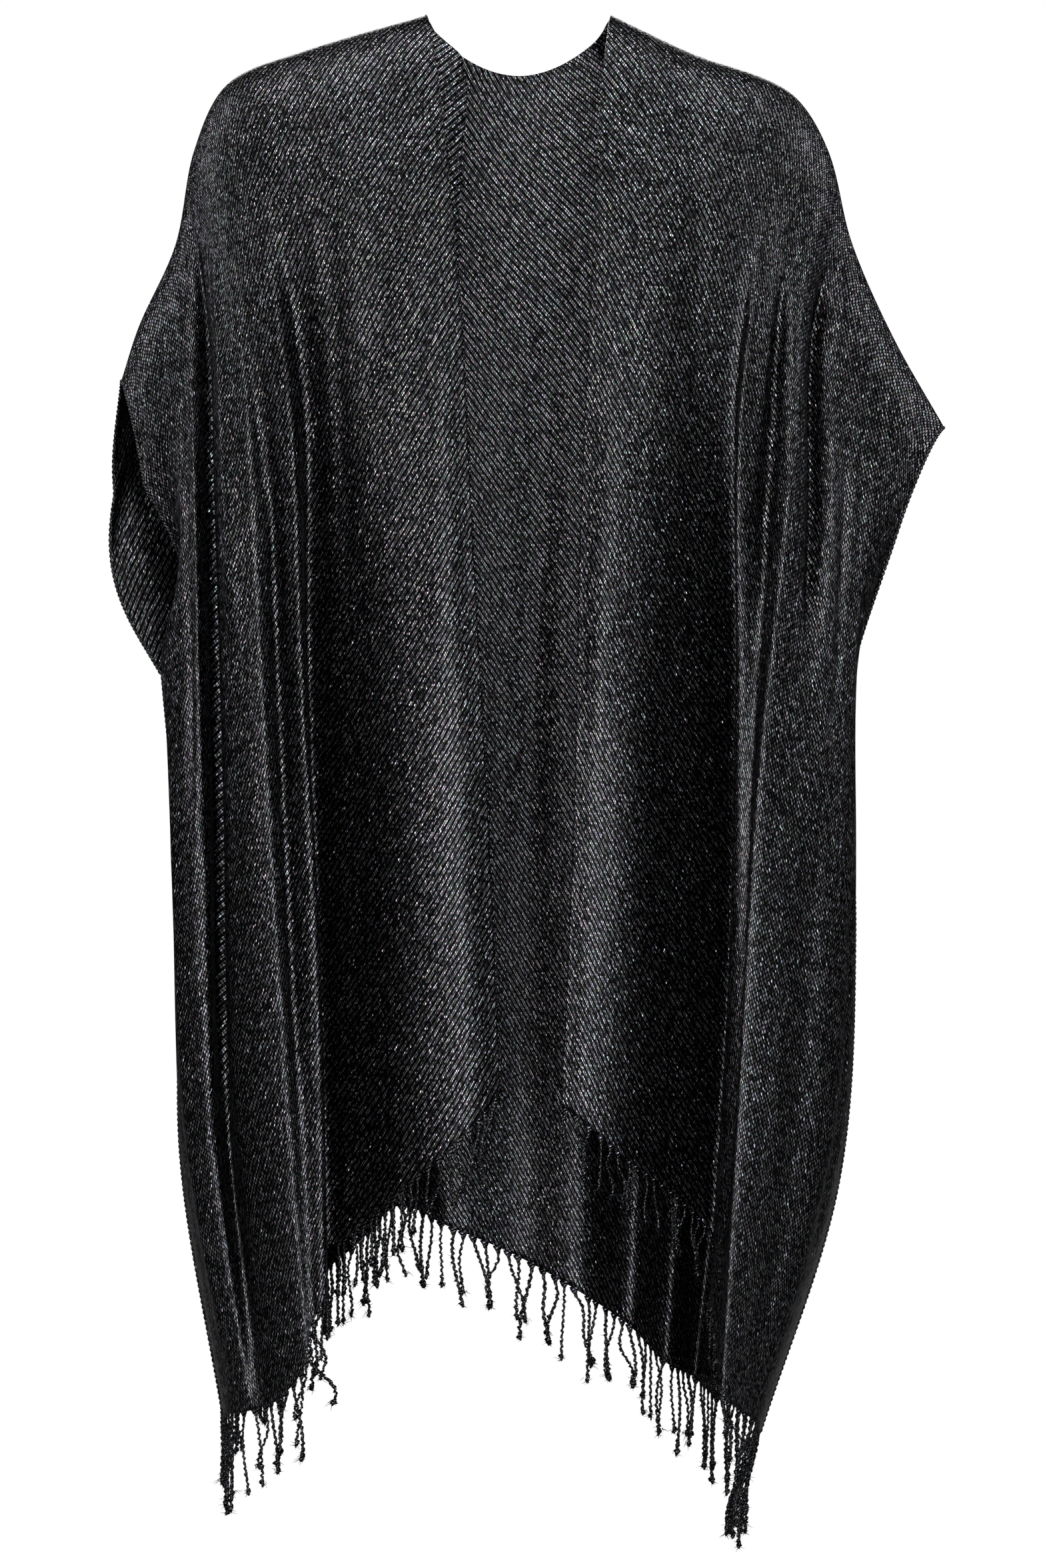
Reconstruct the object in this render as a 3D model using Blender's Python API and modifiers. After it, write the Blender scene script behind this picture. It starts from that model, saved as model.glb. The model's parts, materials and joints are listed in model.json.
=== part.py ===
"""Open-front fringed kimono jacket, a ruana cut from one length of twill, as worn cloth round a hollow.

Frame: metres, +X to the right of the front view, +Y to the back and +Z up. The origin lies midway
between the two neck points, at the height where the wearer's shoulders hold the jacket. The cloth
falls from a shoulder fold. Every panel is drawn by its warp lines, which hang from that fold to the
hem: a table row gives one line's place in plan at five levels, and its height at the hem.
"""

import math
import random
from collections import namedtuple

import bmesh
import bpy
from mathutils import Vector

# Driving dimensions of the cloth
MM = 0.001
WALL = 1.5 * MM
SEAM_GAP = 0.3 * MM
SEAM_BAND = 2.5 * MM
SEAM_BAND_SHARE = 0.006
FRONT_SPLITS = 2
BACK_SPLITS = 3

# Neck edge of the back, from neck point to neck point
NECK_HALF_WIDTH = 63 * MM
NECK_BACK_DEPTH = 50 * MM
NECK_DROP = 32 * MM
NECK_SHARE = 0.17
NECK_ROUNDNESS = 1.9

# The cloth runs nearly level over the shoulder before it falls: share of its length spent so
SHOULDER_LAG = 0.028
SHOULDER_TURN = 0.04
SHOULDER_ROUND = 2.1
TOP_EDGE_FADE = 2

# Fringe: a strip beside the hem and the cords knotted from the warp. A cord's width and sway are
# also held to shares of its pitch, where the hem is steep and the cords hang close together
STRIP_HEIGHT = 4 * MM
STRIP_GAP = 0.6 * MM
CORD_ROOT_SHARE = 0.62
CORD_WIDTH = 2.3 * MM
CORD_WIDTH_SHARE = 0.5
CORD_DEPTH = 1.6 * MM
CORD_LENGTH = 52 * MM
CORD_LENGTH_SPREAD = 9 * MM
CORD_SWAY = 2.2 * MM
CORD_SWAY_SHARE = 0.3
CORD_SWAY_DEPTH = 0.6
CORD_BEND = 6 * MM
CORD_RINGS = (0.16, 0.5, 1.0)
CORD_PITCH = 9.3 * MM
FRINGE_SEED = 11

# Levels down the cloth, as shares of each warp line, and the rows of the mesh between them
LEVELS = (0.0, 0.13, 0.305, 0.52, 0.76, 1.0)
UNDERARM = LEVELS[2]
ROWS = (0.0, 0.003, 0.02, 0.045, 0.085, 0.13, 0.185, 0.245, UNDERARM, 0.355, 0.41, 0.465, 0.52,
        0.58, 0.64, 0.70, 0.76, 0.82, 0.88, 0.94, 1.0)

Fold = namedtuple("Fold", "across sleeve underarm waist hip hem hem_z")
Shoulder = namedtuple("Shoulder", "x z")
Sag = namedtuple("Sag", "side dx dy dz")

# Shoulder folds in mm: neck point, slope, cap, arm, bend, flare and sleeve tip
SHOULDER_LEFT = (
    Shoulder(-63, 0), Shoulder(-148, -25), Shoulder(-199, -47), Shoulder(-222, -92),
    Shoulder(-235, -157), Shoulder(-260, -213), Shoulder(-272, -250),
)
SHOULDER_RIGHT = (
    Shoulder(63, 0), Shoulder(118, -26), Shoulder(184, -52), Shoulder(211, -91),
    Shoulder(228, -156), Shoulder(256, -220), Shoulder(291, -282),
)

# Front on the left of the view, in mm: across is the share from the open edge to the side seam,
# then (x, y) at the sleeve, underarm, waist, hip and hem levels, then the hem's height
FRONT_LEFT = (
    Fold(0.00, (-51, -56), (-39, -86), (-30, -98), (-20, -103), (-12, -100), -730),
    Fold(0.09, (-80, -58), (-64, -91), (-50, -106), (-41, -113), (-34, -110), -756),
    Fold(0.19, (-116, -58), (-100, -91), (-86, -99), (-76, -97), (-68, -92), -788),
    Fold(0.28, (-146, -56), (-133, -84), (-120, -81), (-108, -64), (-101, -57), -822),
    Fold(0.34, (-165, -54), (-152, -84), (-136, -88), (-124, -84), (-121, -80), -842),
    Fold(0.38, (-178, -52), (-163, -84), (-147, -95), (-137, -97), (-132, -93), -862),
    Fold(0.42, (-188, -49), (-171, -77), (-158, -87), (-148, -88), (-138, -86), -884),
    Fold(0.47, (-197, -48), (-181, -80), (-171, -93), (-161, -96), (-145, -91), -911),
    Fold(0.55, (-207, -38), (-200, -60), (-195, -64), (-192, -62), (-163, -66), -934),
    Fold(0.62, (-214, -28), (-207, -34), (-204, -28), (-200, -26), (-173, -42), -943),
    Fold(0.71, (-223, -42), (-217, -60), (-214, -58), (-209, -52), (-183, -56), -947),
    Fold(0.81, (-235, -42), (-229, -58), (-226, -50), (-221, -44), (-192, -46), -950),
    Fold(0.91, (-247, -40), (-240, -40), (-234, -24), (-228, -22), (-199, -24), -953),
    Fold(1.00, (-253, -38), (-245, 6), (-232, 12), (-232, 8), (-203, 4), -955),
)
FRONT_RIGHT = (
    Fold(0.00, (54, -56), (47, -86), (40, -98), (36, -103), (28, -100), -738),
    Fold(0.08, (82, -58), (66, -91), (56, -106), (50, -111), (45, -107), -752),
    Fold(0.17, (115, -58), (94, -90), (80, -99), (76, -97), (71, -93), -774),
    Fold(0.27, (145, -55), (122, -77), (114, -70), (110, -57), (107, -50), -802),
    Fold(0.33, (160, -53), (135, -79), (129, -75), (124, -62), (121, -56), -832),
    Fold(0.38, (169, -53), (145, -88), (140, -92), (134, -83), (127, -74), -862),
    Fold(0.44, (180, -49), (160, -79), (148, -93), (139, -98), (129, -92), -898),
    Fold(0.51, (191, -51), (178, -85), (158, -107), (146, -111), (134, -105), -928),
    Fold(0.58, (200, -36), (194, -66), (176, -99), (162, -104), (142, -98), -937),
    Fold(0.68, (213, -46), (210, -68), (197, -88), (184, -88), (150, -79), -945),
    Fold(0.79, (232, -46), (222, -62), (214, -66), (202, -62), (157, -53), -953),
    Fold(0.90, (251, -42), (228, -42), (226, -32), (213, -26), (162, -25), -962),
    Fold(1.00, (256, -36), (223, 5), (231, 12), (219, 8), (165, 3), -970),
)

# Back, from the left side seam to the right one: across runs from -1 to 1
BACK = (
    Fold(-1.00, (-280, 40), (-245, 6), (-232, 12), (-232, 8), (-203, 4), -955),
    Fold(-0.91, (-274, 44), (-240, 48), (-236, 52), (-232, 50), (-206, 44), -949),
    Fold(-0.80, (-252, 56), (-226, 80), (-219, 88), (-215, 92), (-190, 90), -932),
    Fold(-0.69, (-230, 44), (-204, 62), (-192, 60), (-186, 56), (-165, 62), -908),
    Fold(-0.57, (-208, 60), (-184, 98), (-172, 110), (-166, 115), (-146, 112), -880),
    Fold(-0.44, (-180, 56), (-152, 86), (-140, 82), (-132, 78), (-115, 78), -850),
    Fold(-0.31, (-148, 68), (-120, 108), (-106, 120), (-98, 124), (-86, 120), -826),
    Fold(-0.17, (-84, 76), (-74, 100), (-66, 104), (-58, 102), (-50, 98), -838),
    Fold(0.00, (0, 78), (0, 103), (0, 111), (0, 114), (2, 112), -862),
    Fold(0.15, (78, 76), (66, 101), (56, 104), (48, 102), (42, 99), -884),
    Fold(0.29, (132, 70), (110, 108), (96, 120), (88, 123), (80, 118), -912),
    Fold(0.42, (164, 57), (142, 86), (126, 82), (116, 78), (103, 80), -932),
    Fold(0.55, (196, 60), (170, 98), (156, 110), (146, 114), (125, 110), -947),
    Fold(0.67, (216, 44), (190, 62), (178, 58), (168, 54), (140, 66), -956),
    Fold(0.79, (236, 56), (212, 80), (206, 86), (194, 88), (158, 86), -962),
    Fold(0.91, (254, 44), (224, 46), (230, 50), (216, 46), (168, 42), -968),
    Fold(1.00, (258, 38), (223, 5), (231, 12), (219, 8), (165, 3), -970),
)

# The left armhole hangs open: between sleeve tip and tack its front edge sags inwards, and its
# back edge bellies out. A side is the across value of the panel's edge that sags
FRONT_ARMHOLE_SAG = Sag(1, 24, -6, -10)
BACK_ARMHOLE_SAG = Sag(-1, -15, 6, -4)
SAG_START = 0.13
SAG_REACH = 0.25

# Plain finishes: colour, roughness and metallic value
TWILL = ((0.018, 0.018, 0.021), 0.45, 0.35)
CORD = ((0.012, 0.012, 0.014), 0.7, 0.1)

COLLECTION_NAME = "kimono_jacket"


def clear_scene():
    """Remove the objects that the scene opens with."""
    for item in list(bpy.data.objects):
        bpy.data.objects.remove(item, do_unlink=True)


def make_collection():
    """Make the collection that holds the jacket's pieces."""
    collection = bpy.data.collections.new(COLLECTION_NAME)
    bpy.context.scene.collection.children.link(collection)
    return collection


def make_material(name, colour, roughness, metallic):
    """Make one piece's Principled material."""
    material = bpy.data.materials.new(name)
    material.use_nodes = True
    shader = material.node_tree.nodes["Principled BSDF"]
    shader.inputs["Base Color"].default_value = (*colour, 1.0)
    shader.inputs["Roughness"].default_value = roughness
    shader.inputs["Metallic"].default_value = metallic
    return material


def tangent(knots, values, index):
    """Slope of the smooth curve at one knot, from its neighbours."""
    before = max(index - 1, 0)
    after = min(index + 1, len(knots) - 1)
    return (values[after] - values[before]) / (knots[after] - knots[before])


def smooth(knots, values, t, first_slope=None):
    """Read a smooth curve through values at rising knots."""
    last = len(knots) - 2
    index = next((k for k in range(last) if t < knots[k + 1]), last)
    span = knots[index + 1] - knots[index]
    s = (t - knots[index]) / span
    start = tangent(knots, values, index) * span
    if index == 0 and first_slope is not None:
        start = first_slope * span
    end = tangent(knots, values, index + 1) * span
    lead = 2 * s ** 3 - 3 * s ** 2 + 1
    swell = s ** 3 - 2 * s ** 2 + s
    tail = 3 * s ** 2 - 2 * s ** 3
    ebb = s ** 3 - s ** 2
    return lead * values[index] + swell * start + tail * values[index + 1] + ebb * end


def shoulder_point(shoulder, share):
    """Point of a shoulder fold at a share of its length, from the neck point to the sleeve tip."""
    lengths = [0.0]
    for first, second in zip(shoulder, shoulder[1:]):
        lengths.append(lengths[-1] + math.hypot(second.x - first.x, second.z - first.z))
    place = share * lengths[-1]
    x = smooth(lengths, [point.x for point in shoulder], place)
    z = smooth(lengths, [point.z for point in shoulder], place)
    return Vector((x * MM, 0.0, z * MM))


def neck_point(share):
    """Point of the back's neck edge, at a share from -1 at the left neck point to 1."""
    sink = 1.0 - abs(share) ** NECK_ROUNDNESS
    return Vector((NECK_HALF_WIDTH * share, NECK_BACK_DEPTH * sink, -NECK_DROP * sink))


def front_top(shoulder):
    """Make the function that gives a front's top edge, which is its shoulder fold."""
    def top(across):
        return shoulder_point(shoulder, across)
    return top


def back_top(across):
    """Top edge of the back: a shoulder fold, the neck edge and the other fold."""
    if abs(across) < NECK_SHARE:
        return neck_point(across / NECK_SHARE)
    shoulder = SHOULDER_LEFT if across < 0 else SHOULDER_RIGHT
    return shoulder_point(shoulder, (abs(across) - NECK_SHARE) / (1 - NECK_SHARE))


def fall(down):
    """Share of a warp line's drop at a share of its length: it lingers over the shoulder."""
    lag = SHOULDER_LAG * (1 - math.exp(-down / SHOULDER_TURN))
    return (down - lag) / (1 - SHOULDER_LAG)


def line_point(row, start, down):
    """Point of one warp line that starts at the top edge's point."""
    places = (row.sleeve, row.underarm, row.waist, row.hip, row.hem)
    xs = [start.x] + [place[0] * MM for place in places]
    ys = [start.y] + [place[1] * MM for place in places]
    x = smooth(LEVELS, xs, down)
    y = smooth(LEVELS, ys, down, SHOULDER_ROUND * (ys[1] - ys[0]) / LEVELS[1])
    z = start.z + (row.hem_z * MM - start.z) * fall(down)
    return Vector((x, y, z))


def side_seam_point(row, start, down):
    """Point of a side seam, below the armhole, which both of its panels share."""
    places = (row.underarm, row.waist, row.hip, row.hem)
    x = smooth(LEVELS[2:], [place[0] * MM for place in places], down)
    y = smooth(LEVELS[2:], [place[1] * MM for place in places], down)
    z = start.z + (row.hem_z * MM - start.z) * fall(down)
    return Vector((x, y, z))


def make_cloth(rows, top, sag=None):
    """Make the function that places the cloth of one panel, from its table of warp lines."""
    knots = [row.across for row in rows]

    def place(across, down):
        if down <= 0:
            return top(across)
        if abs(across) == 1.0 and down >= UNDERARM:
            return side_seam_point(rows[-1] if across > 0 else rows[0], top(across), down)
        points = [line_point(row, top(row.across), down) for row in rows]
        point = Vector([smooth(knots, [p[axis] for p in points], across) for axis in range(3)])
        straight = Vector([smooth(knots, [top(k)[axis] for k in knots], across) for axis in range(3)])
        point += (top(across) - straight) * (1 - down) ** TOP_EDGE_FADE
        if sag and SAG_START < down < UNDERARM:
            wave = math.sin(math.pi * (down - SAG_START) / (UNDERARM - SAG_START))
            edge = max(0.0, (sag.side * across - 1 + SAG_REACH) / SAG_REACH)
            point += Vector((sag.dx, sag.dy, sag.dz)) * MM * wave * edge * edge * (3 - 2 * edge)
        return point
    return place


def column_shares(rows, splits):
    """Across shares of the mesh columns, with each table row among them."""
    shares = []
    for first, second in zip(rows, rows[1:]):
        step = (second.across - first.across) / splits
        shares += [first.across + step * k for k in range(splits)]
    return shares + [rows[-1].across]


def banded(shares, ends):
    """Add a seam band's column beside each end named in ends."""
    if "first" in ends:
        shares = shares[:1] + [shares[0] + SEAM_BAND_SHARE] + shares[1:]
    if "last" in ends:
        shares = shares[:-1] + [shares[-1] - SEAM_BAND_SHARE] + shares[-1:]
    return shares


def seam_point(cloth, across, down, toward):
    """Point of the cloth, set straight in front of or behind the seam where it lies in a seam band."""
    at_top = down <= ROWS[1]
    side = 1.0 if across > 0 else -1.0
    at_side = abs(across) > 1 - 2 * SEAM_BAND_SHARE and down >= UNDERARM
    on_edge = (down == 0.0) if at_top else (abs(across) == 1.0)
    reach = SEAM_GAP / 2 if on_edge else SEAM_BAND
    if at_top:
        point = cloth(across, 0.0)
    elif at_side:
        point = cloth(side, down)
    else:
        return cloth(across, down)
    return point + Vector((0.0, toward * reach, 0.0))


def make_sheet(name, points, outward, collection, material):
    """Make one panel's wall from a grid of points, thickened inwards, and return its hem's rim."""
    columns = len(points[0]) - 1
    lines = len(points) - 1
    mesh = bpy.data.meshes.new(name)
    grid = bmesh.new()
    bmesh.ops.create_grid(grid, x_segments=columns, y_segments=lines, size=1.0)
    hem = {}
    for vertex in grid.verts:
        column = round((vertex.co.x + 1) / 2 * columns)
        line = round((1 - vertex.co.y) / 2 * lines)
        vertex.co = points[line][column]
        if line == lines:
            hem[column] = vertex
    face_outwards(grid, outward)
    grid.normal_update()
    rim = [(hem[column].co.copy(), hem[column].normal.copy()) for column in range(columns + 1)]
    grid.to_mesh(mesh)
    grid.free()
    item = add_object(name, mesh, collection, material)
    wall = item.modifiers.new("wall", "SOLIDIFY")
    wall.thickness = WALL
    wall.offset = -1.0
    return rim


def face_outwards(grid, outward):
    """Turn the open sheet's faces so that most of its area looks along outward."""
    grid.normal_update()
    lean = sum(face.normal.dot(outward) * face.calc_area() for face in grid.faces)
    if lean < 0:
        bmesh.ops.reverse_faces(grid, faces=grid.faces)


def add_object(name, mesh, collection, material):
    """Put a mesh in the collection as a named object with its material, shaded smooth."""
    mesh.materials.append(material)
    mesh.shade_smooth()
    item = bpy.data.objects.new(name, mesh)
    collection.objects.link(item)
    return item


def make_panel(name, rows, cloth, splits, toward, collection):
    """Make one panel with its fringe: toward is -1 for a front and 1 for the back."""
    ends = ("last",) if toward < 0 else ("first", "last")
    shares = banded(column_shares(rows, splits), ends)
    points = [[seam_point(cloth, across, down, toward) for across in shares] for down in ROWS]
    outward = Vector((0.0, toward, 0.0))
    rim = make_sheet(name, points, outward, collection, make_material("twill_" + name, *TWILL))
    stretches = [Stretch(first, second) for first, second in zip(rim, rim[1:])]
    make_fringe("fringe_" + name, stretches, collection, make_material("cord_" + name, *CORD))


class Stretch:
    """One straight stretch of a panel's hem, between two corners of its rim."""

    def __init__(self, first, second):
        (self.start, start_out), (self.end, end_out) = first, second
        self.start_depth = start_out * -WALL
        self.end_depth = end_out * -WALL
        self.length = (self.end - self.start).length
        self.along = (self.end - self.start) / self.length
        self.off = self.along.cross(start_out + end_out).normalized()
        if self.off.z > 0:
            self.off.negate()

    def column(self, share, off):
        """Corners of the fringe's strip at a share of the stretch: outer and inner, top and foot."""
        outer = self.start.lerp(self.end, share)
        inner = outer + self.start_depth.lerp(self.end_depth, share)
        drops = (off * STRIP_GAP, off * (STRIP_GAP + STRIP_HEIGHT))
        return [point + drop for drop in drops for point in (outer, inner)]


def strip_columns(stretches):
    """Columns of a fringe's strip along a hem, and the numbers of those that a cord follows."""
    columns = []
    cords = []
    for before, stretch in zip(stretches[:1] + stretches, stretches):
        columns.append(stretch.column(0.0, (before.off + stretch.off).normalized()))
        count = round(stretch.length / CORD_PITCH)
        for k in range(count):
            cords.append((len(columns), stretch))
            for side in (-1, 1):
                share = (k + 0.5 + side * CORD_ROOT_SHARE / 2) / count
                columns.append(stretch.column(share, stretch.off))
    columns.append(stretches[-1].column(1.0, stretches[-1].off))
    return columns, cords


def loft(body, first, second):
    """Join two rings of corners with a band of faces."""
    for k in range(len(first)):
        after = (k + 1) % len(first)
        body.faces.new((first[k], first[after], second[after], second[k]))


def cord_rings(foot, stretch):
    """Corners of a hanging cord at its rings: off the hem first, then down."""
    root = sum(foot, Vector()) / len(foot)
    pitch = (foot[1] - foot[0]).length / CORD_ROOT_SHARE
    level_pitch = pitch * math.hypot(stretch.along.x, stretch.along.y)
    width = min(CORD_WIDTH, CORD_WIDTH_SHARE * level_pitch)
    sway = Vector((random.uniform(-1, 1), random.uniform(-1, 1) * CORD_SWAY_DEPTH, 0.0))
    sway *= min(CORD_SWAY, CORD_SWAY_SHARE * level_pitch)
    reach = CORD_LENGTH + random.uniform(-1, 1) * CORD_LENGTH_SPREAD
    rings = []
    before = root
    for share in CORD_RINGS:
        run = reach * share
        turn = CORD_BEND * (1 - math.exp(-run / CORD_BEND))
        centre = root + stretch.off * turn + Vector((0, 0, -1)) * (run - turn) + sway * share
        heading = (centre - before).normalized()
        wide = stretch.along - heading * stretch.along.dot(heading)
        wide = wide.normalized() * width / 2
        deep = heading.cross(wide).normalized() * CORD_DEPTH / 2
        if deep.dot(foot[3] - foot[0]) < 0:
            deep.negate()
        rings.append([centre - wide - deep, centre + wide - deep, centre + wide + deep,
                      centre - wide + deep])
        before = centre
    return rings


def make_fringe(name, stretches, collection, material):
    """Make a hem's fringe: a narrow strip just off the hem, with cords hanging from its foot."""
    random.seed(FRINGE_SEED)
    columns, cords = strip_columns(stretches)
    body = bmesh.new()
    walls = [[body.verts.new(point) for point in column] for column in columns]
    held = {first for first, stretch in cords}
    for k, (first, second) in enumerate(zip(walls, walls[1:])):
        for near, far in ((0, 1), (2, 0), (1, 3)):
            body.faces.new((first[near], first[far], second[far], second[near]))
        if k not in held:
            body.faces.new((first[2], first[3], second[3], second[2]))
    for end in (walls[0], walls[-1]):
        body.faces.new((end[0], end[1], end[3], end[2]))
    for first, stretch in cords:
        left, right = walls[first], walls[first + 1]
        ring = [left[2], right[2], right[3], left[3]]
        for corners in cord_rings([vertex.co for vertex in ring], stretch):
            lower = [body.verts.new(corner) for corner in corners]
            loft(body, ring, lower)
            ring = lower
        body.faces.new(ring)
    bmesh.ops.recalc_face_normals(body, faces=body.faces)
    mesh = bpy.data.meshes.new(name)
    body.to_mesh(mesh)
    body.free()
    return add_object(name, mesh, collection, material)


def build():
    """Build the jacket's three panels and their fringes."""
    clear_scene()
    collection = make_collection()
    left_cloth = make_cloth(FRONT_LEFT, front_top(SHOULDER_LEFT), FRONT_ARMHOLE_SAG)
    right_cloth = make_cloth(FRONT_RIGHT, front_top(SHOULDER_RIGHT))
    back_cloth = make_cloth(BACK, back_top, BACK_ARMHOLE_SAG)
    make_panel("front_left", FRONT_LEFT, left_cloth, FRONT_SPLITS, -1, collection)
    make_panel("front_right", FRONT_RIGHT, right_cloth, FRONT_SPLITS, -1, collection)
    make_panel("back", BACK, back_cloth, BACK_SPLITS, 1, collection)


build()
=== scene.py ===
"""Dress of an open-front kimono jacket: metallic twill panels, rolled edges and knotted fringe.

Each cloth panel stands on the same table as the solid that it replaces, where a row is one warp
line with its place in plan at five levels. Creases, the rolled edges of the armholes and sides,
and every cord of the fringe are added to that form.
"""

from __future__ import annotations

import json
import logging
import math
import random
from dataclasses import dataclass, field
from enum import Enum
from typing import Callable, NamedTuple

import bpy
import numpy as np
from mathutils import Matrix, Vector

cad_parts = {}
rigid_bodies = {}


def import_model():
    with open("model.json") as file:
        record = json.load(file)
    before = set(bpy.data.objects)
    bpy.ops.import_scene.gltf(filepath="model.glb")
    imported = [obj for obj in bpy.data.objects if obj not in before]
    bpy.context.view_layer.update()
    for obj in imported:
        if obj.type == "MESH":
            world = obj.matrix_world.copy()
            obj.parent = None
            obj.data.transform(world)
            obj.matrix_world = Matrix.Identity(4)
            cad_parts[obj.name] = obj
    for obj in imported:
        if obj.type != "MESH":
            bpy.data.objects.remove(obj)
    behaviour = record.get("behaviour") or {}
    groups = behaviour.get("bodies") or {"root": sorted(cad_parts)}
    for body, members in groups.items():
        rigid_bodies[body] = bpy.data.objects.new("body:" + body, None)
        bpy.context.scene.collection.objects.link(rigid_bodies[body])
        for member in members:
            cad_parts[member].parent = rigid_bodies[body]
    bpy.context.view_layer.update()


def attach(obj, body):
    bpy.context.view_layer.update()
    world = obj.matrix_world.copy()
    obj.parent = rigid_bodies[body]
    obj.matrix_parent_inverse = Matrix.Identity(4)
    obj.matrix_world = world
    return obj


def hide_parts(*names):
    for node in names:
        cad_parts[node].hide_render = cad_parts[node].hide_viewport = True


# Short names of types
Array = np.ndarray
Socket = bpy.types.NodeSocket
Pair = tuple[float, float]
Place = tuple[float, float, float]
Colour = tuple[float, float, float, float]

LOG = logging.getLogger("kimono_jacket")
MM = 0.001
TURN = 2 * math.pi
BODY = "root"

# Neck edge of the back and roundness of the shoulders, as in the solids
NECK_HALF_WIDTH = 63 * MM
NECK_BACK_DEPTH = 60 * MM
NECK_DROP = 32 * MM
NECK_SHARE = 0.17
NECK_ROUNDNESS = 1.9
NECK_SQUARENESS = 16.0
SHOULDER_LAG = 0.028
SHOULDER_TURN = 0.04
SHOULDER_ROUND = 2.1
# How steeply the back leaves its neck edge, and how fast that edge's own curve fades below it
NECK_EASE = 0.9
TOP_EDGE_FADE = 20
# Share of the folds' depth that the weave's map counts
WEAVE_DEPTH = 0.32
# Shares of the drop at which the tables give a warp line's place, from the top edge to the hem
LEVELS = (0.0, 0.13, 0.305, 0.52, 0.76, 1.0)
UNDERARM = LEVELS[2]
SAG_START = 0.13
SAG_REACH = 0.25
SEAM_BLEND = 0.15
# Creases: share down over which they begin, how far they run on past their ends and the share of
# their length over which they fade, and the exponents of soft ones and of those deeper than DEEP
CREASE_TOP = 0.04
CREASE_PAST = 0.06
CREASE_FADE = 0.26
SOFT, SHARP = 2.0, 1.25
DEEP = -6
WEAVE_INPUTS = ("Rib Pitch", "Cell Length", "Glint", "Tilt", "Tint", "Seed")


class Fold(NamedTuple):
    """One warp line: its share across, its (x, y) in mm at five levels, and its hem height."""

    across: float
    sleeve: Pair
    underarm: Pair
    waist: Pair
    hip: Pair
    hem: Pair
    hem_z: float


class Shoulder(NamedTuple):
    """One point of a shoulder fold, in mm."""

    x: float
    z: float


class Sag(NamedTuple):
    """How far a slack armhole edge hangs, in mm, on the panel's edge at across = side."""

    side: int
    dx: float
    dy: float
    dz: float


class Crease(NamedTuple):
    """A soft ridge or trough: its ends in shares across and down, half width, height and bow in mm."""

    start: Pair
    end: Pair
    width: float
    height: float
    bow: float = 0.0


class Reach(NamedTuple):
    """Length of the fringe's cords at a share across the panel, and the ends' drift to +X, in mm."""

    across: float
    length: float
    drift: float = 0.0


class Clump(NamedTuple):
    """Cords that lean together: the middle and half span of the group in mm along the hem."""

    middle: float
    span: float
    pull: float


class Lean(Enum):
    """Which way the twill's ribs lean, as seen from the front."""

    RISING = 1
    FALLING = -1


SHOULDER_LEFT = (
    Shoulder(-63, 0), Shoulder(-148, -25), Shoulder(-199, -47), Shoulder(-222, -92),
    Shoulder(-235, -157), Shoulder(-260, -213), Shoulder(-272, -250),
)
SHOULDER_RIGHT = (
    Shoulder(63, 0), Shoulder(118, -26), Shoulder(184, -52), Shoulder(211, -91),
    Shoulder(228, -156), Shoulder(256, -220), Shoulder(291, -282),
)
FRONT_LEFT = (
    Fold(0.00, (-51, -56), (-39, -88), (-30, -103), (-20, -106), (-12, -103), -730),
    Fold(0.09, (-80, -58), (-64, -91), (-51, -107), (-43, -113), (-35, -110), -756),
    Fold(0.19, (-116, -58), (-100, -88), (-87, -98), (-79, -101), (-71, -96), -788),
    Fold(0.28, (-146, -56), (-126, -79), (-119, -76), (-114, -66), (-107, -61), -822),
    Fold(0.34, (-165, -54), (-144, -68), (-142, -56), (-136, -46), (-130, -46), -842),
    Fold(0.38, (-178, -52), (-152, -87), (-142, -95), (-131, -94), (-127, -91), -862),
    Fold(0.42, (-188, -49), (-168, -77), (-158, -88), (-147, -92), (-137, -92), -884),
    Fold(0.47, (-197, -48), (-181, -82), (-170, -96), (-158, -98), (-142, -92), -911),
    Fold(0.55, (-207, -42), (-200, -70), (-192, -81), (-185, -77), (-158, -78), -934),
    Fold(0.62, (-213, -34), (-207, -44), (-203, -34), (-198, -30), (-171, -62), -943),
    Fold(0.71, (-223, -43), (-216, -64), (-211, -62), (-205, -56), (-182, -56), -947),
    Fold(0.81, (-235, -42), (-229, -58), (-226, -58), (-219, -50), (-191, -44), -950),
    Fold(0.91, (-247, -40), (-240, -40), (-235, -30), (-228, -26), (-199, -24), -953),
    Fold(1.00, (-253, -38), (-245, 6), (-232, 12), (-232, 8), (-203, 4), -955),
)
FRONT_RIGHT = (
    Fold(0.00, (54, -56), (47, -88), (40, -103), (36, -110), (28, -106), -738),
    Fold(0.08, (82, -58), (68, -92), (58, -108), (54, -113), (47, -109), -752),
    Fold(0.17, (115, -58), (96, -90), (84, -102), (80, -104), (72, -98), -774),
    Fold(0.27, (145, -55), (126, -76), (119, -76), (115, -71), (106, -63), -802),
    Fold(0.33, (160, -53), (145, -70), (147, -54), (143, -44), (131, -38), -832),
    Fold(0.38, (169, -53), (147, -86), (144, -90), (139, -86), (128, -76), -862),
    Fold(0.44, (180, -49), (167, -77), (156, -94), (148, -99), (131, -93), -898),
    Fold(0.51, (191, -51), (181, -86), (159, -107), (146, -111), (134, -105), -928),
    Fold(0.58, (200, -36), (194, -66), (176, -101), (164, -106), (142, -99), -937),
    Fold(0.68, (213, -46), (210, -68), (198, -92), (185, -95), (152, -88), -945),
    Fold(0.79, (232, -46), (222, -62), (216, -80), (205, -80), (159, -74), -953),
    Fold(0.90, (251, -42), (228, -44), (226, -48), (214, -48), (163, -44), -962),
    Fold(1.00, (256, -36), (223, 5), (231, 12), (219, 8), (165, 3), -970),
)
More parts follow.
